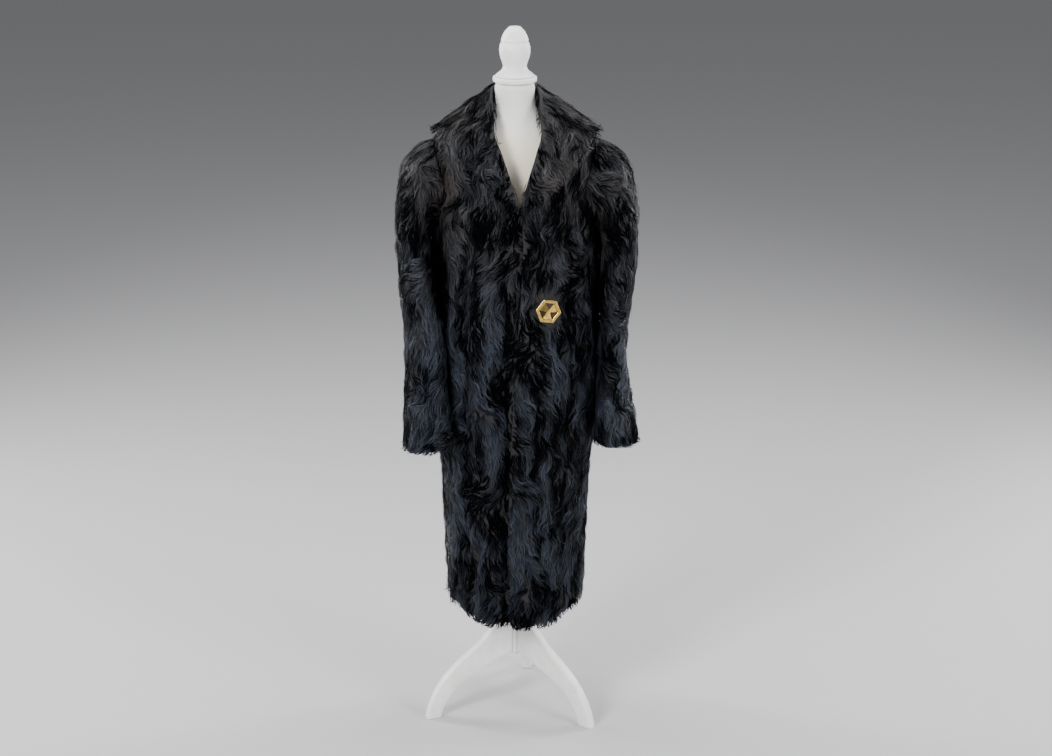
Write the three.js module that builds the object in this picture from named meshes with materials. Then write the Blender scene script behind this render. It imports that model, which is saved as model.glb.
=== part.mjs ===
// A full-length coat of curly black fur on a limbless dress form with a three-legged wooden stand.
// Millimetres, +Z up. The front faces -Y. Left is -X and right is +X, as a viewer in front sees them.
import * as THREE from "three";

// ---- Driving dimensions ----
const HEIGHT = 1651; // floor to the top of the finial
const PELT = 5; // pelt with its pile pressed flat
const SEAM = 0.7; // clearance between pieces at a seam
const LAP = 62; // how far the left front reaches past the middle, under the right one
const LAP_DROP = PELT + 2.5; // how far the lapped part lies behind the right front
const LAP_START = -48; // the left front goes back between these distances from the middle
const LAP_END = -22;
const SQUARE = 0.85; // 1 gives oval sections, less gives squarer ones

const UNDERARM = 1190; // height of the bottom of the armholes
const SHOULDER = 1400; // height of the top of the armholes
const ARMHOLE_ANGLE = 32; // half the angle that an armhole takes out of the body, degrees
const NECK_POINT = 1465; // height where the shoulder seams reach the neck
const V_POINT = 1278; // height where the two fronts part

const HEM_SIDE = 320; // the hem hangs lower at the front than at the sides and back
const HEM_FRONT = 268;
const HEM_BACK = 312;

const BUTTON_RADIUS = 30; // centre to corner
const BUTTON_X = 74;
const BUTTON_Z = 1033;
const BUTTON_TURN = -9.5; // degrees
const BUTTON_STAND = 3; // clearance of its back from the coat, for the shank

const POLE_RADIUS = 13;
const POLE_BOTTOM = 134;
const FORM_BOTTOM = 880;
const NECK_TOP = 1528;
const CAP_TOP = 1541;
const LEG_THICKNESS = 22;
const LEG_ANGLES = { leg_right: -37.6, leg_back: 82.4, leg_left: 202.4 }; // degrees from +X

// Sections of the coat's body: half width, depth in front of and behind the middle.
const BODY = [
  { z: 250, half: 156, front: 150, back: 158 },
  { z: 400, half: 160, front: 150, back: 157 },
  { z: 540, half: 167, front: 150, back: 154 },
  { z: 700, half: 173, front: 149, back: 149 },
  { z: 900, half: 179, front: 146, back: 140 },
  { z: 1050, half: 180, front: 142, back: 130 },
  { z: 1190, half: 180, front: 144, back: 130 },
  { z: 1300, half: 179, front: 135, back: 132 },
  { z: 1370, half: 181, front: 119, back: 123 },
  { z: 1400, half: 178, front: 105, back: 112 },
  { z: 1425, half: 148, front: 88, back: 100 },
  { z: 1445, half: 108, front: 68, back: 84 },
  { z: 1468, half: 64, front: 50, back: 62 },
];

// Long soft folds of the body: the angles of the top and bottom ends, their heights, the half
// width in degrees and the rise. Angles run from the right side seam, 0, to the front, -90.
const FOLD_END = 120; // length over which a fold dies away
const FOLDS = [
  { top: -137, bottom: -141, high: 1330, low: 640, width: 7, rise: 7 },
  { top: -118, bottom: -121, high: 1020, low: 700, width: 5, rise: 5 },
  { top: -151, bottom: -160, high: 760, low: 250, width: 7, rise: 6 },
  { top: -111, bottom: -110, high: 900, low: 250, width: 4.5, rise: 7 },
  { top: -97, bottom: -100, high: 980, low: 250, width: 6, rise: -12 },
  { top: -36, bottom: -14, high: 1300, low: 620, width: 6, rise: 8 },
  { top: -58, bottom: -66, high: 640, low: 250, width: 6, rise: 6 },
  { top: -28, bottom: -34, high: 600, low: 250, width: 7, rise: 7 },
  { top: 28, bottom: 22, high: 1250, low: 250, width: 8, rise: 7 },
  { top: 62, bottom: 66, high: 1100, low: 250, width: 9, rise: -8 },
  { top: 92, bottom: 90, high: 1300, low: 250, width: 8, rise: 7 },
  { top: 120, bottom: 116, high: 1000, low: 250, width: 9, rise: -8 },
  { top: 152, bottom: 156, high: 1200, low: 250, width: 8, rise: 7 },
];

// The closing edge of the right front, and the neck edges of both fronts above the V.
const RIGHT_EDGE = [
  { z: 250, x: -6 },
  { z: 435, x: -17 },
  { z: 600, x: -15 },
  { z: 771, x: -6 },
  { z: 921, x: 3 },
  { z: 1155, x: 20 },
  { z: 1278, x: 18 },
  { z: 1337, x: 44 },
  { z: 1400, x: 64 },
  { z: 1440, x: 62 },
  { z: 1468, x: 52 },
];
const LEFT_EDGE = [
  { z: 250, x: LAP },
  { z: 1100, x: LAP },
  { z: 1230, x: 30 },
  { z: 1278, x: 2 },
  { z: 1337, x: -24 },
  { z: 1400, x: -50 },
  { z: 1440, x: -55 },
  { z: 1468, x: -52 },
];

// Sections of the sleeves below the armhole: the point next to the body, the point furthest
// from it, the middle from front to back, and half the depth. Distances out from the middle.
const SLEEVE_RIGHT = [
  { inX: 192, inZ: 1184, outX: 206, outZ: 1386, y: -2, deep: 82 },
  { inX: 196, inZ: 1172, outX: 236, outZ: 1372, y: -6, deep: 89 },
  { inX: 197, inZ: 1156, outX: 259, outZ: 1342, y: -10, deep: 91 },
  { inX: 197, inZ: 1134, outX: 272, outZ: 1296, y: -14, deep: 89 },
  { inX: 196, inZ: 1098, outX: 279, outZ: 1225, y: -20, deep: 84 },
  { inX: 195, inZ: 1053, outX: 278, outZ: 1140, y: -27, deep: 77 },
  { inX: 194, inZ: 1000, outX: 267, outZ: 1050, y: -34, deep: 69 },
  { inX: 193, inZ: 940, outX: 251, outZ: 962, y: -42, deep: 62 },
  { inX: 191, inZ: 880, outX: 251, outZ: 890, y: -50, deep: 60 },
  { inX: 190, inZ: 820, outX: 262, outZ: 824, y: -58, deep: 62 },
  { inX: 185, inZ: 762, outX: 272, outZ: 762, y: -66, deep: 64 },
  { inX: 178, inZ: 712, outX: 280, outZ: 708, y: -72, deep: 66 },
];
const SLEEVE_LEFT = [
  { inX: 192, inZ: 1184, outX: 204, outZ: 1386, y: -4, deep: 82 },
  { inX: 195, inZ: 1172, outX: 230, outZ: 1372, y: -9, deep: 89 },
  { inX: 194, inZ: 1156, outX: 252, outZ: 1344, y: -17, deep: 91 },
  { inX: 190, inZ: 1134, outX: 263, outZ: 1300, y: -28, deep: 88 },
  { inX: 183, inZ: 1098, outX: 268, outZ: 1225, y: -46, deep: 82 },
  { inX: 174, inZ: 1053, outX: 267, outZ: 1140, y: -67, deep: 74 },
  { inX: 168, inZ: 1000, outX: 258, outZ: 1050, y: -85, deep: 66 },
  { inX: 162, inZ: 940, outX: 246, outZ: 962, y: -101, deep: 60 },
  { inX: 156, inZ: 880, outX: 248, outZ: 890, y: -110, deep: 56 },
  { inX: 151, inZ: 820, outX: 249, outZ: 824, y: -118, deep: 54 },
  { inX: 146, inZ: 762, outX: 252, outZ: 762, y: -124, deep: 54 },
  { inX: 142, inZ: 714, outX: 254, outZ: 709, y: -129, deep: 55 },
];
const SLEEVE_SIDES = 24;
const ARMHOLE_HEART = 168; // the middle of the armhole, out from the middle of the coat
const GATHERS = 7; // soft flutes over the gathered sleeve head
const GATHER_DEPTH = 3.5;

// The collar from the V to the middle of the back: its edge at the neck and its outer edge.
// Half widths are measured from a middle that leans to the right at the V by COLLAR_LEAN.
const COLLAR_LEAN = 13;
const COLLAR = [
  { inHalf: 2, inY: -149, inZ: 1271, outHalf: 14, outY: -148, outZ: 1279 },
  { inHalf: 17, inY: -143, inZ: 1323, outHalf: 58, outY: -141, outZ: 1309 },
  { inHalf: 32, inY: -131, inZ: 1368, outHalf: 101, outY: -122, outZ: 1347 },
  { inHalf: 43, inY: -112, inZ: 1404, outHalf: 142, outY: -96, outZ: 1390 },
  { inHalf: 49, inY: -88, inZ: 1436, outHalf: 172, outY: -58, outZ: 1414 },
  { inHalf: 51, inY: -50, inZ: 1474, outHalf: 182, outY: -4, outZ: 1420 },
  { inHalf: 52, inY: -12, inZ: 1505, outHalf: 172, outY: 52, outZ: 1411 },
  { inHalf: 42, inY: 36, inZ: 1513, outHalf: 140, outY: 104, outZ: 1394 },
  { inHalf: 23, inY: 58, inZ: 1515, outHalf: 76, outY: 138, outZ: 1378 },
  { inHalf: 0, inY: 65, inZ: 1516, outHalf: 0, outY: 146, outZ: 1372 },
];
const COLLAR_ROLL = 9; // how far the fall arches between its edges
const COLLAR_LIFT = PELT + 4; // least distance of its upper side from the coat under it
const COLLAR_FREE = 1440; // above this height it stands up, clear of the coat

// Sections of the dress form.
const FORM = [
  { z: FORM_BOTTOM, half: 118, front: 84, back: 92 },
  { z: 892, half: 136, front: 98, back: 106 },
  { z: 940, half: 145, front: 104, back: 114 },
  { z: 1000, half: 138, front: 100, back: 108 },
  { z: 1080, half: 120, front: 90, back: 90 },
  { z: 1160, half: 126, front: 98, back: 96 },
  { z: 1240, half: 136, front: 110, back: 104 },
  { z: 1310, half: 144, front: 106, back: 106 },
  { z: 1365, half: 142, front: 92, back: 98 },
  { z: 1400, half: 122, front: 76, back: 84 },
  { z: 1430, half: 84, front: 58, back: 66 },
  { z: 1455, half: 56, front: 47, back: 51 },
  { z: 1480, half: 44, front: 43, back: 44 },
  { z: 1508, half: 45, front: 45, back: 45 },
  { z: NECK_TOP, half: 47.5, front: 47.5, back: 47.5 },
];

const cloth = { color: 0x15161c, roughness: 0.75, metalness: 0 };
const jersey = { color: 0xe9e3d6, roughness: 0.9, metalness: 0 };
const paint = { color: 0xf0efeb, roughness: 0.45, metalness: 0 };
const gilt = { color: 0xc9a24a, roughness: 0.3, metalness: 1 };

const rad = THREE.MathUtils.degToRad;
const mix = THREE.MathUtils.lerp;
const clamp = THREE.MathUtils.clamp;
const smooth = THREE.MathUtils.smoothstep;
const power = (c) => Math.sign(c) * Math.abs(c) ** SQUARE;

// ---- Fair curves through the rows of a table ----
// Cubic curve between points i and i + 1, with slopes from the points on either side.
function hermite(points, i, t) {
  const [a, b] = [points[i], points[i + 1]];
  const [p, n] = [points[i - 1] ?? a, points[i + 2] ?? b];
  const step = b.at - a.at;
  const slopeA = (step * (b.value - p.value)) / (b.at - p.at);
  const slopeB = (step * (n.value - a.value)) / (n.at - a.at);
  const u = t * t;
  const v = u * t;
  return (2 * v - 3 * u + 1) * a.value + (v - 2 * u + t) * slopeA
    + (3 * u - 2 * v) * b.value + (v - u) * slopeB;
}

// The value of a column of a table at height z.
function fair(table, z, column) {
  const points = table.map((row) => ({ at: row.z, value: row[column] }));
  const inside = clamp(z, points[0].at, points.at(-1).at);
  let i = 0;
  while (i < points.length - 2 && inside > points[i + 1].at) i++;
  return hermite(points, i, (inside - points[i].at) / (points[i + 1].at - points[i].at));
}

// The value of a column of a table at a row number that needn't be whole.
function alongRows(table, position, column) {
  const points = table.map((row, i) => ({ at: i, value: row[column] }));
  const i = clamp(Math.floor(position), 0, points.length - 2);
  return hermite(points, i, position - i);
}

// Shares from 0 to 1 in equal steps.
const evenly = (steps) => [...Array(steps + 1).keys()].map((i) => i / steps);

// ---- A wall of cloth on a surface ----
// surface(u, v) gives the outer side, u across or around and v up, with a row of corners at
// each v of rows. The inner side lies a thickness behind. A tube's u runs all the way round.
function wall(surface, across, rows, thickness, tube = false) {
  const columns = tube ? across : across + 1;
  const up = rows.length - 1;
  const reach = 1e-3;
  const outer = [];
  const inner = [];
  for (const v of rows) {
    for (let i = 0; i < columns; i++) {
      const u = i / across;
      const point = surface(u, v);
      const alongU = surface(u + reach, v).sub(surface(u - reach, v));
      const alongV = surface(u, Math.min(v + reach, 1)).sub(surface(u, Math.max(v - reach, 0)));
      const normal = alongU.cross(alongV).normalize();
      outer.push(point);
      inner.push(point.clone().addScaledVector(normal, -thickness));
    }
  }
  const positions = [...outer, ...inner].flatMap((p) => p.toArray());
  const faces = [];
  const quad = (a, b, c, d) => faces.push(a, b, c, a, c, d);
  const at = (i, j) => j * columns + (i % columns);
  const back = outer.length;
  for (let j = 0; j < up; j++) {
    for (let i = 0; i < across; i++) {
      const [a, b, c, d] = [at(i, j), at(i + 1, j), at(i + 1, j + 1), at(i, j + 1)];
      quad(a, b, c, d);
      quad(back + a, back + d, back + c, back + b);
    }
  }
  for (let i = 0; i < across; i++) {
    quad(at(i, 0), back + at(i, 0), back + at(i + 1, 0), at(i + 1, 0));
    quad(at(i, up), at(i + 1, up), back + at(i + 1, up), back + at(i, up));
  }
  for (let j = 0; j < up && !tube; j++) {
    quad(at(0, j), at(0, j + 1), back + at(0, j + 1), back + at(0, j));
    quad(at(across, j), back + at(across, j), back + at(across, j + 1), at(across, j + 1));
  }
  return solid(positions, faces);
}

function solid(positions, faces) {
  const geometry = new THREE.BufferGeometry();
  geometry.setAttribute("position", new THREE.Float32BufferAttribute(positions, 3));
  geometry.setIndex(faces);
  return geometry;
}

// ---- The coat's body ----
function foldRise(angle, z) {
  let rise = 0;
  for (const fold of FOLDS) {
    const way = clamp((z - fold.low) / (fold.high - fold.low), 0, 1);
    const off = (angle - mix(fold.bottom, fold.top, way)) / fold.width;
    const top = 1 - smooth(z, fold.high - FOLD_END, fold.high);
    const foot = fold.low <= HEM_FRONT ? 1 : smooth(z, fold.low, fold.low + FOLD_END);
    rise += fold.rise * Math.exp(-off * off) * top * foot;
  }
  return rise;
}

// A point on the outer side of the body at an angle and a height, moved out by lift.
function bodyPoint(angle, z, lift = 0) {
  const c = Math.cos(rad(angle));
  const s = Math.sin(rad(angle));
  const deep = fair(BODY, z, angle < 0 ? "front" : "back");
  const flat = new THREE.Vector2(fair(BODY, z, "half") * power(c), deep * power(s));
  flat.setLength(flat.length() + foldRise(angle, z) + lift);
  return new THREE.Vector3(flat.x, flat.y, z);
}

// The angle on the front at which the body is x wide.
function frontAngle(x, z) {
  const share = clamp(x / fair(BODY, z, "half"), -1, 1);
  return -THREE.MathUtils.radToDeg(Math.acos(Math.sign(share) * Math.abs(share) ** (1 / SQUARE)));
}

// Height of the armhole seam at a turn from the underarm, -90, to the shoulder, 90.
function armholeHeight(turn) {
  const middle = (UNDERARM + SHOULDER) / 2;
  return middle + ((SHOULDER - UNDERARM) / 2) * Math.sin(rad(turn));
}

// How far an armhole's edge stands from the side seam at a height, in degrees.
function armhole(z) {
  const way = clamp((z - UNDERARM) / (SHOULDER - UNDERARM), 0, 1);
  return ARMHOLE_ANGLE * Math.sin(Math.PI * way) ** 0.75;
}

// Degrees that leave half a seam's clearance beside the line at angle 0.
const seamAngle = (z) => THREE.MathUtils.radToDeg((SEAM / fair(BODY, z, "front")) ** (1 / SQUARE));

// Height at a share of the way up a panel, with the hem's dip at the front.
function panelHeight(angle, v) {
  const dip = angle < 0 ? HEM_FRONT : HEM_BACK;
  const hem = mix(HEM_SIDE, dip, Math.sin(rad(Math.abs(angle))) ** 2);
  const level = mix(HEM_FRONT, NECK_POINT, v);
  return level + (hem - HEM_FRONT) * (1 - smooth(v, 0, 0.6));
}

// Shares up a panel for its rows. Beside the armhole they meet the corners of the sleeve's end.
function panelRows() {
  const share = (z) => (z - HEM_FRONT) / (NECK_POINT - HEM_FRONT);
  const below = evenly(9).slice(0, -1).map((t) => t * share(UNDERARM));
  const beside = evenly(SLEEVE_SIDES / 2).map((t) => share(armholeHeight(180 * t - 90)));
  return [...below, ...beside, share(1422), share(1444), 1];
}

function panelSurface(startAngle, endAngle, liftAt = () => 0) {
  return (u, v) => {
    const level = panelHeight(-90, v);
    const angle = mix(startAngle(level), endAngle(level), u);
    const z = panelHeight(angle, v);
    return bodyPoint(angle, z, liftAt(angle, z));
  };
}

const backPanel = panelSurface(
  (z) => armhole(z) + seamAngle(z),
  (z) => 180 - armhole(z) - seamAngle(z),
);
const frontRight = panelSurface(
  (z) => frontAngle(fair(RIGHT_EDGE, z, "x"), z),
  (z) => -armhole(z) - seamAngle(z),
);
const frontLeft = panelSurface(
  (z) => -180 + armhole(z) + seamAngle(z),
  (z) => frontAngle(fair(LEFT_EDGE, z, "x"), z),
  (angle, z) => -LAP_DROP * smooth(bodyPoint(angle, z).x, LAP_START, LAP_END),
);

// ---- The sleeves ----
// The armhole seam at a turn from the front, 0, by the shoulder, 90, to the back, 180.
function armholeSeam(side, turn) {
  const z = armholeHeight(turn);
  const front = Math.cos(rad(turn)) > 0;
  const fromSeam = (front ? -1 : 1) * armhole(z);
  const angle = side > 0 ? fromSeam : Math.sign(fromSeam || -1) * 180 - fromSeam;
  const seam = bodyPoint(angle, z);
  const heart = new THREE.Vector3(side * ARMHOLE_HEART, 0, armholeHeight(0));
  return seam.add(heart.sub(seam).setLength(2 * SEAM));
}

function sleeveSurface(table, side) {
  const rings = table.length;
  return (u, v) => {
    const turn = 360 * u * side - 90;
    const place = (1 - v) * rings - 1; // -1 at the armhole, 0 at the first row of the table
    const at = (column) => alongRows(table, Math.max(place, 0), column);
    const sin = Math.sin(rad(turn));
    const cos = Math.cos(rad(turn));
    const flute = Math.cos(rad(turn - 90) * GATHERS) * GATHER_DEPTH;
    const head = smooth(sin, 0.1, 0.7) * smooth(place, -1, 0.4) * (1 - smooth(place, 1.5, 4));
    const swell = 1 + (flute * head) / at("deep");
    const ring = new THREE.Vector3(
      side * (mix(at("inX"), at("outX"), (1 + sin * swell) / 2)),
      at("y") - at("deep") * cos * swell,
      mix(at("inZ"), at("outZ"), (1 + sin * swell) / 2),
    );
    return place < 0 ? ring.lerp(armholeSeam(side, turn), -place) : ring;
  };
}

// ---- The collar ----
// Moves a point out, level, until it is clear of the coat's body by lift.
function clearOfBody(point, lift) {
  const deep = fair(BODY, point.z, point.y < 0 ? "front" : "back");
  const acrossShare = (Math.abs(point.x) / fair(BODY, point.z, "half")) ** (2 / SQUARE);
  const deepShare = (Math.abs(point.y) / deep) ** (2 / SQUARE);
  const flat = new THREE.Vector2(point.x, point.y);
  const edge = flat.length() * (acrossShare + deepShare) ** (-SQUARE / 2);
  const flatter = smooth(point.z, SHOULDER - 5, SHOULDER + 25); // the shoulder slopes away there
  flat.setLength(Math.max(flat.length(), edge + lift * (1 + 1.6 * flatter)));
  return new THREE.Vector3(flat.x, flat.y, point.z);
}

function collarSurface(u, v) {
  const side = u < 0.5 ? -1 : 1;
  const place = (1 - Math.abs(2 * u - 1)) * (COLLAR.length - 1);
  const at = (column) => alongRows(COLLAR, place, column);
  const lean = COLLAR_LEAN * (1 - smooth(place, 2, 7));
  const outEdge = new THREE.Vector3(lean + side * at("outHalf"), at("outY"), at("outZ"));
  const inEdge = new THREE.Vector3(lean * 0.8 + side * at("inHalf"), at("inY"), at("inZ"));
  const point = outEdge.clone().lerp(inEdge, v);
  const out = new THREE.Vector3(point.x, point.y, 0).normalize();
  out.z = 0.5;
  const arch = COLLAR_ROLL * Math.sin(Math.PI * v) * smooth(place, 0, 2);
  point.addScaledVector(out.normalize(), arch);
  return point.z < COLLAR_FREE ? clearOfBody(point, COLLAR_LIFT) : point;
}

// ---- The button ----
function hexagon(radius) {
  const corners = [...Array(6).keys()].map((i) => rad(60 * i));
  return corners.map((a) => new THREE.Vector2(radius * Math.cos(a), radius * Math.sin(a)));
}

function buttonRim() {
  const shape = new THREE.Shape(hexagon(BUTTON_RADIUS - 1));
  shape.holes.push(new THREE.Path(hexagon(BUTTON_RADIUS - 7)));
  return new THREE.ExtrudeGeometry(shape, {
    depth: 4, bevelEnabled: true, bevelThickness: 1, bevelSize: 1, bevelSegments: 1,
  });
}

// A hexagonal plate whose face rises in three facets and falls in three.
function buttonCenter() {
  const rim = hexagon(BUTTON_RADIUS - 8.5);
  const positions = [0, 0, 0, 0, 0, 6];
  rim.forEach((p, i) => positions.push(p.x, p.y, 0, p.x, p.y, i % 2 ? 4.5 : 1.5));
  const faces = [];
  for (let i = 0; i < 6; i++) {
    const [low, high] = [2 + 2 * i, 3 + 2 * i];
    const [nextLow, nextHigh] = [2 + 2 * ((i + 1) % 6), 3 + 2 * ((i + 1) % 6)];
    faces.push(0, nextLow, low, 1, high, nextHigh, low, nextLow, nextHigh, low, nextHigh, high);
  }
  return solid(positions, faces);
}

// ---- The dress form and its stand ----
function formTorso(around = 26) {
  const positions = [];
  for (const row of FORM) {
    for (let i = 0; i < around; i++) {
      const turn = (2 * Math.PI * i) / around;
      const deep = Math.sin(turn) < 0 ? row.front : row.back;
      positions.push(row.half * Math.cos(turn), deep * Math.sin(turn), row.z);
    }
  }
  const bottom = positions.length / 3;
  positions.push(0, 0, FORM[0].z, 0, 0, FORM.at(-1).z);
  const faces = [];
  const last = (FORM.length - 1) * around;
  for (let i = 0; i < around; i++) {
    const next = (i + 1) % around;
    faces.push(bottom, next, i, bottom + 1, last + i, last + next);
    for (let j = 0; j < last; j += around) {
      faces.push(j + i, j + next, j + around + next, j + i, j + around + next, j + around + i);
    }
  }
  return solid(positions, faces);
}

// A turned piece about the pole's axis from a profile of radius and height, bottom to top.
function turned(profile, around = 24) {
  const points = profile.map(([r, z]) => new THREE.Vector2(r, z));
  return new THREE.LatheGeometry(points, around).rotateX(Math.PI / 2);
}

function neckCap() {
  const base = NECK_TOP + 0.4;
  const top = CAP_TOP - 0.4;
  return turned([[0, base], [48, base], [49.5, base + 2], [49.5, top - 2], [48, top], [0, top]]);
}

function finial() {
  return turned([
    [0, CAP_TOP], [44, CAP_TOP], [42, 1546], [32, 1554], [27, 1563], [30, 1573], [34, 1585],
    [35, 1597], [33, 1608], [29, 1615], [31, 1619], [28, 1630], [22, 1641], [13, HEIGHT],
    [0, HEIGHT],
  ]);
}

function pole() {
  const top = FORM_BOTTOM - 0.4;
  const r = POLE_RADIUS;
  const end = [[0, POLE_BOTTOM], [r - 4, POLE_BOTTOM + 1], [r, POLE_BOTTOM + 6]];
  return turned([...end, [r, top], [0, top]], 16);
}

// A curved leg sawn from a board, standing out from the pole at an angle.
function leg(angle) {
  const start = POLE_RADIUS + 0.4;
  const shape = new THREE.Shape();
  shape.moveTo(start, 140);
  shape.lineTo(start, 250);
  shape.lineTo(40, 250);
  shape.bezierCurveTo(56, 205, 90, 178, 122, 154);
  shape.bezierCurveTo(165, 122, 215, 85, 232, 0);
  shape.lineTo(197, 0);
  shape.bezierCurveTo(193, 45, 150, 85, 100, 105);
  shape.bezierCurveTo(75, 115, 45, 138, start, 140);
  const board = new THREE.ExtrudeGeometry(shape, {
    depth: LEG_THICKNESS, bevelEnabled: false, curveSegments: 7,
  });
  return board.rotateX(Math.PI / 2).translate(0, LEG_THICKNESS / 2, 0).rotateZ(rad(angle));
}

// ---- Assembly ----
const group = new THREE.Group();

function add(name, geometry, look, parent = group) {
  const mesh = new THREE.Mesh(geometry, new THREE.MeshStandardMaterial(look));
  mesh.name = name;
  parent.add(mesh);
  return mesh;
}

add("back", wall(backPanel, 18, panelRows(), PELT), cloth);
add("front_left", wall(frontLeft, 13, panelRows(), PELT), cloth);
add("front_right", wall(frontRight, 11, panelRows(), PELT), cloth);
for (const [name, table, side] of [["sleeve_left", SLEEVE_LEFT, -1], ["sleeve_right", SLEEVE_RIGHT, 1]]) {
  const tube = wall(sleeveSurface(table, side), SLEEVE_SIDES, evenly(table.length), PELT, true);
  add(name, tube, cloth);
}
add("collar", wall(collarSurface, 32, evenly(5), PELT), cloth);

const buttonAngle = frontAngle(BUTTON_X, BUTTON_Z);
const seat = bodyPoint(buttonAngle, BUTTON_Z);
const beside = bodyPoint(buttonAngle + 1, BUTTON_Z).sub(bodyPoint(buttonAngle - 1, BUTTON_Z));
const facing = Math.atan2(beside.y, beside.x); // the way the front runs, level, at the button
const button = new THREE.Group();
const forward = new THREE.Vector3(Math.sin(facing), -Math.cos(facing), 0);
button.position.copy(seat).addScaledVector(forward, BUTTON_STAND);
button.rotation.set(Math.PI / 2, 0, facing, "ZXY");
add("button_rim", buttonRim().translate(0, 0, 1).rotateZ(rad(BUTTON_TURN)), gilt, button);
add("button_center", buttonCenter().rotateZ(rad(BUTTON_TURN)), gilt, button);
group.add(button);

add("form_torso", formTorso(), jersey);
add("neck_cap", neckCap(), paint);
add("finial", finial(), paint);
add("pole", pole(), paint);
for (const [name, angle] of Object.entries(LEG_ANGLES)) add(name, leg(angle), paint);

// The origin is on the floor, under the middle of the whole.
group.updateMatrixWorld(true);
const box = new THREE.Box3().setFromObject(group, true);
const middle = box.getCenter(new THREE.Vector3());
const origin = new THREE.Vector3(middle.x, middle.y, box.min.z);
for (const child of group.children) child.position.sub(origin);

export default group;
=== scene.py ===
"""Full-length curly black fur coat on a limbless dress form with a three-legged stand."""
import math
import random

import bmesh
import bpy
from mathutils import Matrix, Vector, noise
from mathutils.bvhtree import BVHTree


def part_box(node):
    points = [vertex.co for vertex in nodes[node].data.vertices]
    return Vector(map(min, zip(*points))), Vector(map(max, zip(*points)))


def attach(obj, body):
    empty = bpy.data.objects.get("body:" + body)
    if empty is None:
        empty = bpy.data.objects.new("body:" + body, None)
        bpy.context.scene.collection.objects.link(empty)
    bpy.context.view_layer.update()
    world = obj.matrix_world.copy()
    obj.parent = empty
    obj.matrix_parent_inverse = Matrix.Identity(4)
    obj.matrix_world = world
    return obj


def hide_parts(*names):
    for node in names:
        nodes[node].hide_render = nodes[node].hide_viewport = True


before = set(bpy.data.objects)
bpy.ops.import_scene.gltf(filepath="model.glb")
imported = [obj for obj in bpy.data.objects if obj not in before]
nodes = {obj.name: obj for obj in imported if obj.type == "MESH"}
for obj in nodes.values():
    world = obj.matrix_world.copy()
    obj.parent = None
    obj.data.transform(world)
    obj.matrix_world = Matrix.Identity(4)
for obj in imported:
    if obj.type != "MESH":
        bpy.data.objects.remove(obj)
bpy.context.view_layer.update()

# ---- The room ----
# A pale floor and soft lamps: a large one high in front on the left, a wide one on the right,
# and two narrow ones behind that draw the fur's sheen along its edges.

pole_low, pole_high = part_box("pole")
axis_x, axis_y = (pole_low.x + pole_high.x) / 2, (pole_low.y + pole_high.y) / 2


def paint_with(piece, material):
    """Gives a piece or a frame node one material."""
    piece.data.materials.clear()
    piece.data.materials.append(material)


def finish_named(name, color, roughness, **inputs):
    """A principled material with values set on the shader's own sockets."""
    material = bpy.data.materials.new(name)
    material.use_nodes = True
    shader = material.node_tree.nodes["Principled BSDF"]
    shader.inputs["Base Color"].default_value = (*color, 1)
    shader.inputs["Roughness"].default_value = roughness
    for socket, value in inputs.items():
        shader.inputs[socket.replace("_", " ")].default_value = value
    return material, material.node_tree, shader


def link(tree, source, output, target, socket):
    tree.links.new(source.outputs[output], target.inputs[socket])


def piece_from(bm, name, smooth=True):
    """Makes the scene's object from a bmesh."""
    mesh = bpy.data.meshes.new(name)
    bm.to_mesh(mesh)
    bm.free()
    if smooth:
        mesh.shade_smooth()
    piece = bpy.data.objects.new(name, mesh)
    bpy.context.scene.collection.objects.link(piece)
    return piece


floor_mesh = bmesh.new()
bmesh.ops.create_grid(floor_mesh, x_segments=1, y_segments=1, size=14)
floor = piece_from(floor_mesh, "floor", smooth=False)
floor_paint, floor_tree, floor_shader = finish_named("floor_paper", (0.50, 0.50, 0.51), 0.85)
paint_with(floor, floor_paint)


def softbox(name, place, aim, size, watts):
    data = bpy.data.lights.new(name, "AREA")
    data.shape = "RECTANGLE"
    data.size, data.size_y = size
    data.energy = watts
    lamp = bpy.data.objects.new(name, data)
    lamp.location = place
    lamp.rotation_euler = (Vector(aim) - Vector(place)).to_track_quat("-Z", "Y").to_euler()
    bpy.context.scene.collection.objects.link(lamp)


softbox("key", (-2.2, -3.2, 3.0), (0, 0, 0.9), (1.2, 1.8), 230)
softbox("fill", (2.8, -2.4, 1.9), (0, 0, 0.8), (1.2, 2.2), 110)
softbox("edge_left", (-2.6, 1.1, 1.8), (0, 0, 0.9), (0.4, 2.2), 90)
softbox("edge_right", (2.6, 1.3, 1.8), (0, 0, 0.9), (0.4, 2.2), 90)
softbox("top", (0, 0.4, 3.6), (0, 0, 1.0), (1.8, 1.8), 80)

world = bpy.data.worlds.new("studio")
world.use_nodes = True
world.node_tree.nodes["Background"].inputs["Color"].default_value = (0.80, 0.81, 0.83, 1)
world.node_tree.nodes["Background"].inputs["Strength"].default_value = 0.30
bpy.context.scene.world = world

CAMERA_BACK = 5.2  # metres from the pole, level
CAMERA_UP = 2.5
CAMERA_DOWN = 17.8  # degrees below level
camera_data = bpy.data.cameras.new("camera")
camera_data.lens = 80.2
camera = bpy.data.objects.new("camera", camera_data)
camera.location = (axis_x + 0.025, axis_y - CAMERA_BACK, CAMERA_UP)
camera.rotation_euler = (math.radians(90 - CAMERA_DOWN), 0, 0)
bpy.context.scene.collection.objects.link(camera)
bpy.context.scene.camera = camera

# ---- The stand ----
# Three legs sawn from 22 mm board and a turned pole, brushed with white satin paint that has
# chipped in places. The boards' edges are eased with a small round.

LEG_ROUND = 0.0028

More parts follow.
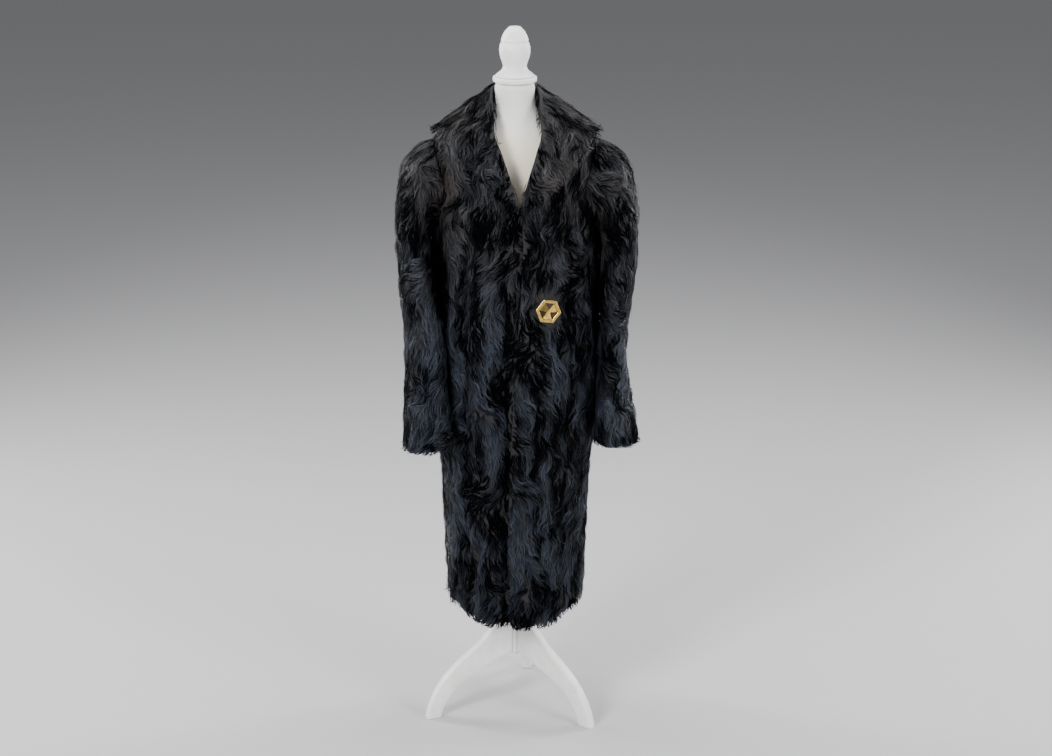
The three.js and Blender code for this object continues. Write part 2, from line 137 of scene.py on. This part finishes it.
wood, tree, shader = finish_named("white_wood_paint", (0.86, 0.86, 0.84), 0.42)
place = tree.nodes.new("ShaderNodeTexCoord")
brush = tree.nodes.new("ShaderNodeTexNoise")
brush.inputs["Scale"].default_value = 38
brush.inputs["Detail"].default_value = 6
shade = tree.nodes.new("ShaderNodeValToRGB")
shade.color_ramp.elements[0].position, shade.color_ramp.elements[0].color = 0.30, (0.80, 0.79, 0.76, 1)
shade.color_ramp.elements[1].position, shade.color_ramp.elements[1].color = 0.62, (0.90, 0.90, 0.89, 1)
chips = tree.nodes.new("ShaderNodeTexNoise")
chips.inputs["Scale"].default_value = 24
chips.inputs["Detail"].default_value = 9
chip_edge = tree.nodes.new("ShaderNodeValToRGB")
chip_edge.color_ramp.elements[0].position, chip_edge.color_ramp.elements[0].color = 0.755, (0, 0, 0, 1)
chip_edge.color_ramp.elements[1].position, chip_edge.color_ramp.elements[1].color = 0.77, (1, 1, 1, 1)
chipped = tree.nodes.new("ShaderNodeMix")
chipped.data_type = "RGBA"
chipped.inputs[7].default_value = (0.16, 0.13, 0.10, 1)
dent = tree.nodes.new("ShaderNodeBump")
dent.inputs["Strength"].default_value = 0.25
dent.inputs["Distance"].default_value = 0.0006
link(tree, place, "Object", brush, "Vector")
link(tree, place, "Object", chips, "Vector")
link(tree, brush, "Fac", shade, "Fac")
link(tree, chips, "Fac", chip_edge, "Fac")
tree.links.new(chip_edge.outputs["Color"], chipped.inputs[0])
tree.links.new(shade.outputs["Color"], chipped.inputs[6])
tree.links.new(chipped.outputs[2], shader.inputs["Base Color"])
link(tree, brush, "Fac", dent, "Height")
link(tree, dent, "Normal", shader, "Normal")


def merged_copy(node, quads=True):
    """A bmesh of a frame node with its corners merged and its triangles paired."""
    bm = bmesh.new()
    bm.from_mesh(nodes[node].data)
    bmesh.ops.remove_doubles(bm, verts=bm.verts, dist=0.00004)
    if quads:
        bmesh.ops.join_triangles(
            bm, faces=bm.faces, angle_face_threshold=math.radians(50),
            angle_shape_threshold=math.radians(70), cmp_seam=False, cmp_sharp=False,
            cmp_uvs=False, cmp_vcols=False, cmp_materials=False)
    return bm


for name in ("leg_left", "leg_right", "leg_back"):
    leg = merged_copy(name, quads=False)
    bmesh.ops.dissolve_limit(leg, angle_limit=math.radians(1), verts=leg.verts, edges=leg.edges)
    sharp = [e for e in leg.edges if e.is_manifold and e.calc_face_angle() > math.radians(35)]
    bmesh.ops.bevel(leg, geom=sharp, offset=LEG_ROUND, segments=3, profile=0.5,
                    affect="EDGES", material=-1, clamp_overlap=True)
    board = piece_from(leg, name + "_board")
    paint_with(board, wood)
    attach(board, "root")
    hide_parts(name)


def turned(profile, name, steps=64):
    """A piece turned about the pole's axis from a list of radius and height, bottom to top."""
    bm = bmesh.new()
    line = [bm.verts.new((axis_x + r, axis_y, z)) for r, z in profile]
    edges = [bm.edges.new(pair) for pair in zip(line, line[1:])]
    bmesh.ops.spin(bm, geom=line + edges, cent=(axis_x, axis_y, 0), axis=(0, 0, 1),
                   angle=2 * math.pi, steps=steps, use_merge=True)
    bmesh.ops.remove_doubles(bm, verts=bm.verts, dist=0.00002)
    bmesh.ops.recalc_face_normals(bm, faces=bm.faces)
    return piece_from(bm, name)


def eased(profile, rounds=3):
    """The profile with its corners rounded by repeated corner cutting, ends kept."""
    for _ in range(rounds):
        cut = [profile[0]]
        for (r0, z0), (r1, z1) in zip(profile, profile[1:]):
            cut.append((0.78 * r0 + 0.22 * r1, 0.78 * z0 + 0.22 * z1))
            cut.append((0.22 * r0 + 0.78 * r1, 0.22 * z0 + 0.78 * z1))
        profile = cut + [profile[-1]]
    return profile


pole_radius = (pole_high.x - pole_low.x) / 2
pole_end = pole_low.z
post = turned(eased([(0, pole_end), (pole_radius, pole_end), (pole_radius, pole_end + 0.02),
                     (pole_radius, pole_high.z - 0.01), (pole_radius, pole_high.z),
                     (0, pole_high.z)]), "pole_turned")
paint_with(post, wood)
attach(post, "root")
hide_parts("pole")

# ---- The dress form ----
# A padded, limbless torso under cream knitted jersey, white where it is stretched up the neck.
# A turned cap closes the neck, and an acorn finial stands on it.

form = merged_copy("form_torso")
form = piece_from(form, "form_jersey")
smooth_form = form.modifiers.new("smooth", "SUBSURF")
smooth_form.levels = smooth_form.render_levels = 2

jersey, tree, shader = finish_named("jersey_knit", (0.86, 0.80, 0.68), 0.92, Sheen_Weight=0.25)
place = tree.nodes.new("ShaderNodeTexCoord")
height = tree.nodes.new("ShaderNodeSeparateXYZ")
stretched = tree.nodes.new("ShaderNodeMapRange")
stretched.inputs["From Min"].default_value = 1.395
stretched.inputs["From Max"].default_value = 1.455
whiter = tree.nodes.new("ShaderNodeMix")
whiter.data_type = "RGBA"
whiter.inputs[6].default_value = (0.88, 0.80, 0.66, 1)
whiter.inputs[7].default_value = (0.80, 0.80, 0.78, 1)
stitches = tree.nodes.new("ShaderNodeTexWave")
stitches.inputs["Scale"].default_value = 330
stitches.inputs["Distortion"].default_value = 2
stitches.inputs["Detail"].default_value = 2
knit = tree.nodes.new("ShaderNodeBump")
knit.inputs["Strength"].default_value = 0.25
knit.inputs["Distance"].default_value = 0.0005
link(tree, place, "Object", height, "Vector")
link(tree, height, "Z", stretched, "Value")
tree.links.new(stretched.outputs["Result"], whiter.inputs[0])
tree.links.new(whiter.outputs[2], shader.inputs["Base Color"])
link(tree, place, "Object", stitches, "Vector")
link(tree, stitches, "Fac", knit, "Height")
link(tree, knit, "Normal", shader, "Normal")
paint_with(form, jersey)
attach(form, "root")
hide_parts("form_torso")

cap_low, cap_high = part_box("neck_cap")
cap_radius = (cap_high.x - cap_low.x) / 2
cap = turned(eased([(0, cap_low.z), (cap_radius - 0.001, cap_low.z), (cap_radius, cap_low.z + 0.003),
                    (cap_radius, cap_high.z - 0.003), (cap_radius - 0.002, cap_high.z),
                    (0, cap_high.z)]), "neck_cap_turned")
finial_low, finial_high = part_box("finial")
FINIAL = [  # radius, height above its foot
    (0, 0), (0.0435, 0), (0.0435, 0.002), (0.039, 0.006), (0.033, 0.010), (0.028, 0.016),
    (0.0265, 0.023), (0.0285, 0.031), (0.033, 0.042), (0.0352, 0.055), (0.0345, 0.066),
    (0.0318, 0.0745), (0.0302, 0.0765), (0.0302, 0.0785), (0.0312, 0.0795), (0.0285, 0.089),
    (0.0225, 0.100), (0.0135, 0.1095), (0.0125, 0.110), (0, 0.110)]
tip = turned(eased([(r, finial_low.z + z) for r, z in FINIAL]), "finial_turned")
for piece, node in ((cap, "neck_cap"), (tip, "finial")):
    paint_with(piece, wood)
    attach(piece, "root")
    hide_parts(node)

# ---- The pelts ----
# Back, two fronts, two sleeves and the collar, each cut from joined strips of curly black
# pelt. The shells below are the skins. Their strips, creases and swags are soft ridges and
# troughs, uneven in length and depth.

SHELL_LEVELS = 2
RAW_EDGE_ANGLE = math.radians(60)  # sharper bends are the cut edges of a pelt, which stay put
CREASES = [  # around from the right side by the front, degrees; top and foot; width; rise, mm
    # Besides moving the coat, each rise also paints the hair lighter on ridges and darker in troughs: painted light
    # in the hair's tone.
    {"turn": -100, "lean": 3, "top": 1.24, "foot": 0.98, "wide": 3.0, "rise": -6.5},
    {"turn": -99, "lean": -1, "top": 0.93, "foot": 0.20, "wide": 4.5, "rise": -8.0},
    {"turn": -112, "lean": -4, "top": 1.20, "foot": 0.62, "wide": 2.6, "rise": 3.2},
    {"turn": -128, "lean": -5, "top": 1.28, "foot": 0.36, "wide": 2.8, "rise": -4.0},
    {"turn": -146, "lean": 4, "top": 1.10, "foot": 0.40, "wide": 3.2, "rise": 4.0},
    {"turn": -163, "lean": -3, "top": 1.22, "foot": 0.50, "wide": 3.2, "rise": -3.6},
    {"turn": -72, "lean": 4, "top": 1.22, "foot": 0.70, "wide": 2.6, "rise": -3.2},
    {"turn": -60, "lean": -3, "top": 1.16, "foot": 0.34, "wide": 2.8, "rise": 3.6},
    {"turn": -46, "lean": 5, "top": 1.28, "foot": 0.52, "wide": 3.0, "rise": -4.0},
    {"turn": -22, "lean": 4, "top": 0.94, "foot": 0.32, "wide": 3.0, "rise": 3.6},
    {"turn": 14, "lean": 4, "top": 1.20, "foot": 0.42, "wide": 3.4, "rise": -3.4},
    {"turn": 42, "lean": -4, "top": 1.26, "foot": 0.50, "wide": 3.2, "rise": 3.8},
    {"turn": 55, "lean": 3, "top": 0.96, "foot": 0.34, "wide": 3.0, "rise": -3.2},
    {"turn": 77, "lean": 5, "top": 1.24, "foot": 0.62, "wide": 3.0, "rise": -3.8},
    {"turn": 104, "lean": -4, "top": 1.18, "foot": 0.40, "wide": 3.4, "rise": 3.6},
    {"turn": 135, "lean": 4, "top": 1.26, "foot": 0.56, "wide": 3.0, "rise": -3.6},
    {"turn": 166, "lean": -3, "top": 1.02, "foot": 0.36, "wide": 3.2, "rise": 3.4},
]


def eased_step(x, low, high):
    t = min(max((x - low) / (high - low), 0), 1)
    return t * t * (3 - 2 * t)


def crease_rise(point):
    """How far a point of the coat moves out, in metres, by the creases and the strips."""
    turn = math.degrees(math.atan2(point.y - axis_y, point.x - axis_x))
    rise = 0
    for c in CREASES:
        way = (point.z - c["foot"]) / (c["top"] - c["foot"])
        if not -0.2 < way < 1.2:
            continue
        middle = c["turn"] + c["lean"] * math.sin(2.6 * way) + 1.5 * math.sin(9 * way + c["turn"])
        off = (turn - middle) / c["wide"]
        rise += c["rise"] * math.exp(-off * off) * eased_step(way, -0.2, 0.15) * (1 - eased_step(way, 0.85, 1.2))
    swell = noise.noise(point * 11) * 2.2 + noise.noise(Vector((point.x, point.y, point.z * 0.35)) * 34) * 1.6
    return (rise + swell) * 0.001


SIDE_FULLNESS = {1: 0.012, -1: 0.007}  # on the right and on the left, metres


def side_fullness(point):
    """How far the body's cloth stands out under the arms, towards the sleeves."""
    side = 1 if point.x > axis_x else -1
    off = math.degrees(math.atan2(point.y - axis_y, abs(point.x - axis_x))) / 16
    level = eased_step(point.z, 0.66, 0.76) * (1 - eased_step(point.z, 1.16, 1.25))
    return SIDE_FULLNESS[side] * math.exp(-off * off) * level


def pelt(node):
    """The skin of one panel: a thin closed shell on the node's form, with creases."""
    bm = merged_copy(node)
    crisp = bm.edges.layers.float.new("crease_edge")
    for edge in bm.edges:
        if edge.is_manifold and edge.calc_face_angle() > RAW_EDGE_ANGLE:
            edge[crisp] = 1
    rough = piece_from(bm, node + "_rough")
    smoother = rough.modifiers.new("smooth", "SUBSURF")
    smoother.levels = smoother.render_levels = SHELL_LEVELS
    evaluated = rough.evaluated_get(bpy.context.evaluated_depsgraph_get())
    bm = bmesh.new()
    bm.from_mesh(evaluated.to_mesh())
    bpy.data.objects.remove(rough)
    for v in bm.verts:
        out = Vector((v.co.x - axis_x, v.co.y - axis_y, 0))
        rise = crease_rise(v.co)
        if node in ("back", "front_left", "front_right"):
            rise += side_fullness(v.co)
        v.co += out.normalized() * rise
    return piece_from(bm, node + "_pelt")


hide, tree, shader = finish_named("pelt_skin", (0.008, 0.008, 0.010), 0.8)
place = tree.nodes.new("ShaderNodeTexCoord")
nap = tree.nodes.new("ShaderNodeTexNoise")
nap.inputs["Scale"].default_value = 260
nap.inputs["Detail"].default_value = 6
nap_bump = tree.nodes.new("ShaderNodeBump")
nap_bump.inputs["Distance"].default_value = 0.002
link(tree, place, "Object", nap, "Vector")
link(tree, nap, "Fac", nap_bump, "Height")
link(tree, nap_bump, "Normal", shader, "Normal")

button_low, button_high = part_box("button_rim")
button_middle = (button_low + button_high) / 2
pelts = {}
for node in ("back", "front_left", "front_right", "sleeve_left", "sleeve_right", "collar"):
    pelts[node] = pelt(node)
    paint_with(pelts[node], hide)
    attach(pelts[node], "root")
    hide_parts(node)

# ---- The fur ----
# Flat curls of kid lamb: glossy locks 25 to 45 mm long that lie along the skin in waves and
# whorls and run mostly downward. Each lock is a tapered, arched ribbon of joined hairs.

LOCK_STATIONS = 6
WHORL = 0.065  # size of the whorls, metres
RIPPLE = 0.022
PAST_THE_EDGE = 0.5  # each step past a hem or a cuff is this share of the one before
BUTTON_ROOM = 0.0305  # no hair lies over the button


def outer_side(piece, blockers):
    """The faces of a shell that look out, free of what lies over them, with their areas."""
    mesh = piece.data
    found = []
    for face in mesh.polygons:
        start = face.center + face.normal * 0.0015
        if all(b.ray_cast(start, face.normal, 0.7)[0] is None for b in blockers):
            found.append(face)
    return found


def tree_of(*pieces):
    """One search tree over several shells."""
    corners, faces = [], []
    for piece in pieces:
        base = len(corners)
        corners += [v.co.copy() for v in piece.data.vertices]
        faces += [[base + i for i in f.vertices] for f in piece.data.polygons]
    return BVHTree.FromPolygons(corners, faces)


def flow(point, normal, down):
    """Which way the hair lies at a point: down, turned by whorls and ripples."""
    whorl = noise.noise_vector(point / WHORL + Vector((3.1, 7.7, 1.3)))
    ripple = noise.noise_vector(point / RIPPLE + Vector((9.2, 0.4, 5.5)))
    way = down * 0.9 + whorl * 1.3 + ripple * 0.55
    way -= normal * way.dot(normal)
    return way.normalized()


def tone_and_painted_light_at(point):
    """How bright the hair is, from 0 to 1: strips of pelt differ in tone, and the crease term is painted light,
    lighter on the crests and darker in the troughs, such as the dark band by the closing edge.
    """
    strip = noise.noise(Vector((point.x / 0.032, point.y / 0.032, point.z / 0.13)))
    tuft = noise.noise(point / 0.020 + Vector((4, 4, 4)))
    # The 95 * crease_rise term is painted light: a painted highlight on the crests and painted shade in the troughs.
    return 0.42 + 0.95 * strip + 0.40 * tuft + 95 * crease_rise(point)


def grow(name, piece, surface, blockers, per_square_metre, down_at, seed, longer, overhang):
    """Locks all over the outer side of a shell, as one joined mesh."""
    draw = random.Random(seed)
    lowest = min(v.co.z for v in piece.data.vertices) - overhang
    faces = outer_side(piece, blockers)
    total = sum(f.area for f in faces)
    mesh_verts = piece.data.vertices
    bm = bmesh.new()
    tone_and_painted_light = bm.verts.layers.float.new("tone_and_painted_light")
    strand = bm.loops.layers.uv.new("strand")
    weights = [f.area for f in faces]
    for face in draw.choices(faces, weights, k=int(total * per_square_metre)):
        a, b, c = [mesh_verts[i].co for i in draw.sample(list(face.vertices), 3)]
        s, t = sorted((draw.random(), draw.random()))
        point = a * s + b * (t - s) + c * (1 - t)
        normal = face.normal.copy()
        stray = draw.random() < 0.09
        length = (0.034 + 0.014 * draw.random() + 0.010 * noise.noise(point / 0.035)) * longer
        width = (0.0018 + 0.0022 * draw.random()) * (0.7 if stray else 1)
        lift = 0.0003 + 0.0020 * draw.random()
        flight = 0.011 * draw.random() if stray else 0  # how far the tip stands off
        bunch = noise.noise(point / 0.026 + Vector((5, 5, 5)))
        curl = 0.0010 + 0.0075 * max(bunch, 0) + 0.0010 * draw.random()
        phase = 6.0 * noise.noise(point / 0.032 + Vector((1, 9, 4))) + 0.4 * draw.random()
        wave = 0.0018 + 0.0022 * draw.random()
        # shade is the lock's brightness: its own tone plus the painted light of the crests and troughs.
        shade = tone_and_painted_light_at(point) + 0.45 * (draw.random() - 0.5) + 0.5 * bunch
        shade = min(max(shade, 0), 1)
        offset = draw.random() * 8
        way = flow(point, normal, down_at(point))
        step = length / (LOCK_STATIONS - 1)
        rows = []
        for k in range(LOCK_STATIONS):
            t = k / (LOCK_STATIONS - 1)
            near, near_normal, _, gap = surface.find_nearest(point)
            on_cloth = gap is not None and gap < 0.009 and near_normal.dot(normal) > 0.2
            base, n = (near, near_normal) if on_cloth else (point, normal)
            step *= 1 if on_cloth else PAST_THE_EDGE
            base.z = max(base.z, lowest)
            side = n.cross(way).normalized()
            high = lift + curl * math.sin(math.pi * (0.12 + 0.80 * t)) + flight * t * t
            sway = side * wave * math.sin(phase + 7.0 * t)
            swell = 0.40 + 0.60 * math.sin(math.pi * min(t * 1.2 + 0.1, 1))
            half = side * width * 0.5 * swell * (1 - 0.6 * t ** 3)
            middle = base + n * high + sway
            arch = n * (width * 0.25 * (1 - t * 0.8))
            rows.append((middle - half, middle + arch, middle + half))
            point = base + way * step
            normal = n
            way = way + flow(point, n, down_at(point)) * 0.9
            way = (way - n * way.dot(n)).normalized()
        if any((row[1] - button_middle).length < BUTTON_ROOM for row in rows):
            continue
        rows = [[bm.verts.new(corner) for corner in row] for row in rows]
        for k, (low, high_row) in enumerate(zip(rows, rows[1:])):
            for j in (0, 1):
                quad = bm.faces.new((low[j], low[j + 1], high_row[j + 1], high_row[j]))
                corners = ((j, k), (j + 1, k), (j + 1, k + 1), (j, k + 1))
                for loop, (u, v) in zip(quad.loops, corners):
                    loop[strand].uv = (offset + u * 0.5, offset + v * 0.2)
                    loop.vert[tone_and_painted_light] = shade * (0.45 + 0.11 * v)
    return piece_from(bm, name)


def fur_material(name, dark, light, warm):
    """Glossy black hair with fine strands along each lock."""
    material, tree, shader = finish_named(
        name, dark, 0.36, Specular_Tint=(0.72, 0.82, 1.0, 1))
    # The tone attribute sets both the colour ramp and the gloss. It is partly the hair's own tone and partly painted
    # light: crests are painted lighter, bluer and glossier, and troughs are painted near black.
    tone_and_painted_light = tree.nodes.new("ShaderNodeAttribute")
    tone_and_painted_light.attribute_name = "tone_and_painted_light"
    colors = tree.nodes.new("ShaderNodeValToRGB")
    colors.color_ramp.elements[0].position, colors.color_ramp.elements[0].color = 0.25, (*dark, 1)
    colors.color_ramp.elements[1].position, colors.color_ramp.elements[1].color = 0.95, (*light, 1)
    place = tree.nodes.new("ShaderNodeTexCoord")
    patches = tree.nodes.new("ShaderNodeTexNoise")
    patches.inputs["Scale"].default_value = 9
    patches.inputs["Detail"].default_value = 3
    height = tree.nodes.new("ShaderNodeSeparateXYZ")
    upper = tree.nodes.new("ShaderNodeMapRange")
    upper.inputs["From Min"].default_value = 0.95
    upper.inputs["From Max"].default_value = 1.40
    upper.inputs["To Min"].default_value = 0.2
    upper.inputs["To Max"].default_value = 1.7
    warmth = tree.nodes.new("ShaderNodeMath")
    warmth.operation = "MULTIPLY"
    brown = tree.nodes.new("ShaderNodeMix")
    brown.data_type = "RGBA"
    brown.blend_type = "MIX"
    warm_colors = tree.nodes.new("ShaderNodeValToRGB")
    warm_colors.color_ramp.elements[0].position, warm_colors.color_ramp.elements[0].color = 0.25, (*dark, 1)
    warm_colors.color_ramp.elements[1].position, warm_colors.color_ramp.elements[1].color = 0.95, (*warm, 1)
    grain = tree.nodes.new("ShaderNodeMapping")
    grain.inputs["Scale"].default_value = (9.0, 0.8, 1.0)
    hairs = tree.nodes.new("ShaderNodeTexNoise")
    hairs.inputs["Scale"].default_value = 1.6
    hairs.inputs["Detail"].default_value = 4
    strands = tree.nodes.new("ShaderNodeBump")
    strands.inputs["Strength"].default_value = 0.7
    strands.inputs["Distance"].default_value = 0.0009
    rough = tree.nodes.new("ShaderNodeMapRange")
    rough.inputs["To Min"].default_value = 0.26
    rough.inputs["To Max"].default_value = 0.52
    gloss = tree.nodes.new("ShaderNodeMapRange")
    gloss.inputs["From Min"].default_value = 0.15
    gloss.inputs["From Max"].default_value = 0.85
    gloss.inputs["To Min"].default_value = 0.015
    gloss.inputs["To Max"].default_value = 0.55
    link(tree, tone_and_painted_light, "Fac", gloss, "Value")
    link(tree, gloss, "Result", shader, "Specular IOR Level")
    link(tree, tone_and_painted_light, "Fac", colors, "Fac")
    link(tree, tone_and_painted_light, "Fac", warm_colors, "Fac")
    link(tree, place, "Object", patches, "Vector")
    link(tree, place, "Object", height, "Vector")
    link(tree, height, "Z", upper, "Value")
    tree.links.new(upper.outputs["Result"], warmth.inputs[0])
    tree.links.new(patches.outputs["Fac"], warmth.inputs[1])
    tree.links.new(warmth.outputs[0], brown.inputs[0])
    tree.links.new(colors.outputs["Color"], brown.inputs[6])
    tree.links.new(warm_colors.outputs["Color"], brown.inputs[7])
    tree.links.new(brown.outputs[2], shader.inputs["Base Color"])
    link(tree, place, "UV", grain, "Vector")
    link(tree, grain, "Vector", hairs, "Vector")
    link(tree, hairs, "Fac", strands, "Height")
    link(tree, strands, "Normal", shader, "Normal")
    link(tree, hairs, "Fac", rough, "Value")
    link(tree, rough, "Result", shader, "Roughness")
    return material


curly_black = fur_material("curly_black_fur", (0.0006, 0.0006, 0.0010), (0.020, 0.026, 0.040), (0.044, 0.031, 0.019))

straight_down = Vector((0, 0, -1))


def down_and_out(point):
    """Down, and away from the pole where the cloth lies level, as over the shoulders."""
    out = Vector((point.x - axis_x, point.y - axis_y, 0)).normalized()
    return (straight_down + out * 0.7).normalized()


body_tree = tree_of(pelts["back"], pelts["front_left"], pelts["front_right"])
left_tree, right_tree = tree_of(pelts["sleeve_left"]), tree_of(pelts["sleeve_right"])
collar_tree = tree_of(pelts["collar"])
FUR = [  # node, surface that the locks follow, what covers it, direction, seed, length, overhang
    ("back", body_tree, (body_tree,), lambda p: straight_down, 11, 1.0, 0.012),
    ("front_left", body_tree, (body_tree,), lambda p: straight_down, 12, 1.0, 0.012),
    ("front_right", body_tree, (body_tree,), lambda p: straight_down, 13, 1.0, 0.012),
    ("sleeve_left", left_tree, (left_tree,), down_and_out, 14, 1.0, 0.0),
    ("sleeve_right", right_tree, (right_tree,), down_and_out, 15, 1.0, 0.0),
    ("collar", collar_tree, (collar_tree, body_tree), down_and_out, 16, 0.9, 0.012),
]
LOCKS_PER_SQUARE_METRE = {"back": 16000}
FRONT_LOCKS = 24500
furs = {}
for node, surface, blockers, down_at, seed, longer, overhang in FUR:
    furs[node] = grow(node + "_fur", pelts[node], surface, blockers,
                      LOCKS_PER_SQUARE_METRE.get(node, FRONT_LOCKS), down_at, seed, longer, overhang)
    paint_with(furs[node], curly_black)
    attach(furs[node], "root")

# ---- The button ----
# A hexagonal button of gilt metal: a bevelled rim round a faceted centre whose recesses are
# dark. It is sewn through the fur by a shank behind it.

gilt, tree, shader = finish_named("gilt_metal", (0.80, 0.55, 0.16), 0.22, Metallic=1.0)
place = tree.nodes.new("ShaderNodeTexCoord")
tarnish = tree.nodes.new("ShaderNodeTexNoise")
tarnish.inputs["Scale"].default_value = 140
tarnish.inputs["Detail"].default_value = 5
tarnish_color = tree.nodes.new("ShaderNodeValToRGB")
tarnish_color.color_ramp.elements[0].position, tarnish_color.color_ramp.elements[0].color = 0.3, (0.52, 0.32, 0.08, 1)
tarnish_color.color_ramp.elements[1].position, tarnish_color.color_ramp.elements[1].color = 0.6, (0.86, 0.60, 0.18, 1)
worn = tree.nodes.new("ShaderNodeBump")
worn.inputs["Strength"].default_value = 0.3
worn.inputs["Distance"].default_value = 0.0004
link(tree, place, "Object", tarnish, "Vector")
link(tree, tarnish, "Fac", tarnish_color, "Fac")
link(tree, tarnish_color, "Color", shader, "Base Color")
link(tree, tarnish, "Fac", worn, "Height")
link(tree, worn, "Normal", shader, "Normal")
recess_dark, _, _ = finish_named("recess_dark", (0.030, 0.018, 0.008), 0.45, Metallic=0.6)

rim = merged_copy("button_rim", quads=False)
bmesh.ops.dissolve_limit(rim, angle_limit=math.radians(1), verts=rim.verts, edges=rim.edges)
sharp = [e for e in rim.edges if e.is_manifold and e.calc_face_angle() > math.radians(30)]
bmesh.ops.bevel(rim, geom=sharp, offset=0.0004, segments=2, profile=0.5, affect="EDGES",
                material=-1, clamp_overlap=True)
rim = piece_from(rim, "button_rim_gilt", smooth=False)

plate = merged_copy("button_center", quads=False)
bmesh.ops.dissolve_limit(plate, angle_limit=math.radians(1), verts=plate.verts, edges=plate.edges)
backing = max(plate.faces, key=lambda f: f.calc_area())
facing = -backing.normal
around = [v.co.copy() for v in backing.verts]
hub = sum(around, Vector()) / len(around)
plate.free()
POINT_REACH = 0.20  # share of the way from the middle to a side where a recess's point is
POINT_RISE = 0.0050
RIM_RISE = 0.0022
RECESS_BORDER = 0.0006
RECESS_DEPTH = 0.0020
face_bm = bmesh.new()
back_ring = [face_bm.verts.new(p) for p in around]
ring = [face_bm.verts.new(p + facing * RIM_RISE) for p in around]
points = []
for i in (1, 3, 5):
    side = (around[i] + around[(i + 1) % 6]) / 2
    points.append(face_bm.verts.new(hub.lerp(side, POINT_REACH) + facing * POINT_RISE))
face_bm.faces.new(back_ring)
face_bm.faces.new(points)
recesses = []
for i in range(6):
    after = (i + 1) % 6
    face_bm.faces.new((back_ring[i], back_ring[after], ring[after], ring[i]))
for j, point in enumerate(points):
    first, second, third = (ring[(2 * j + k) % 6] for k in (1, 2, 3))
    recesses.append(face_bm.faces.new((point, first, second)))
    face_bm.faces.new((point, second, third))
    face_bm.faces.new((point, third, points[(j + 1) % 3]))
bmesh.ops.recalc_face_normals(face_bm, faces=face_bm.faces)
bmesh.ops.inset_individual(face_bm, faces=recesses, thickness=RECESS_BORDER, depth=0,
                           use_even_offset=True)
sunk = {v for f in recesses for v in f.verts}
bmesh.ops.translate(face_bm, verts=list(sunk), vec=-facing * RECESS_DEPTH)
for face in recesses:
    face.material_index = 1
center = piece_from(face_bm, "button_center_gilt", smooth=False)

paint_with(rim, gilt)
center.data.materials.append(gilt)
center.data.materials.append(recess_dark)
for piece, node in ((rim, "button_rim"), (center, "button_center")):
    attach(piece, "root")
    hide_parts(node)
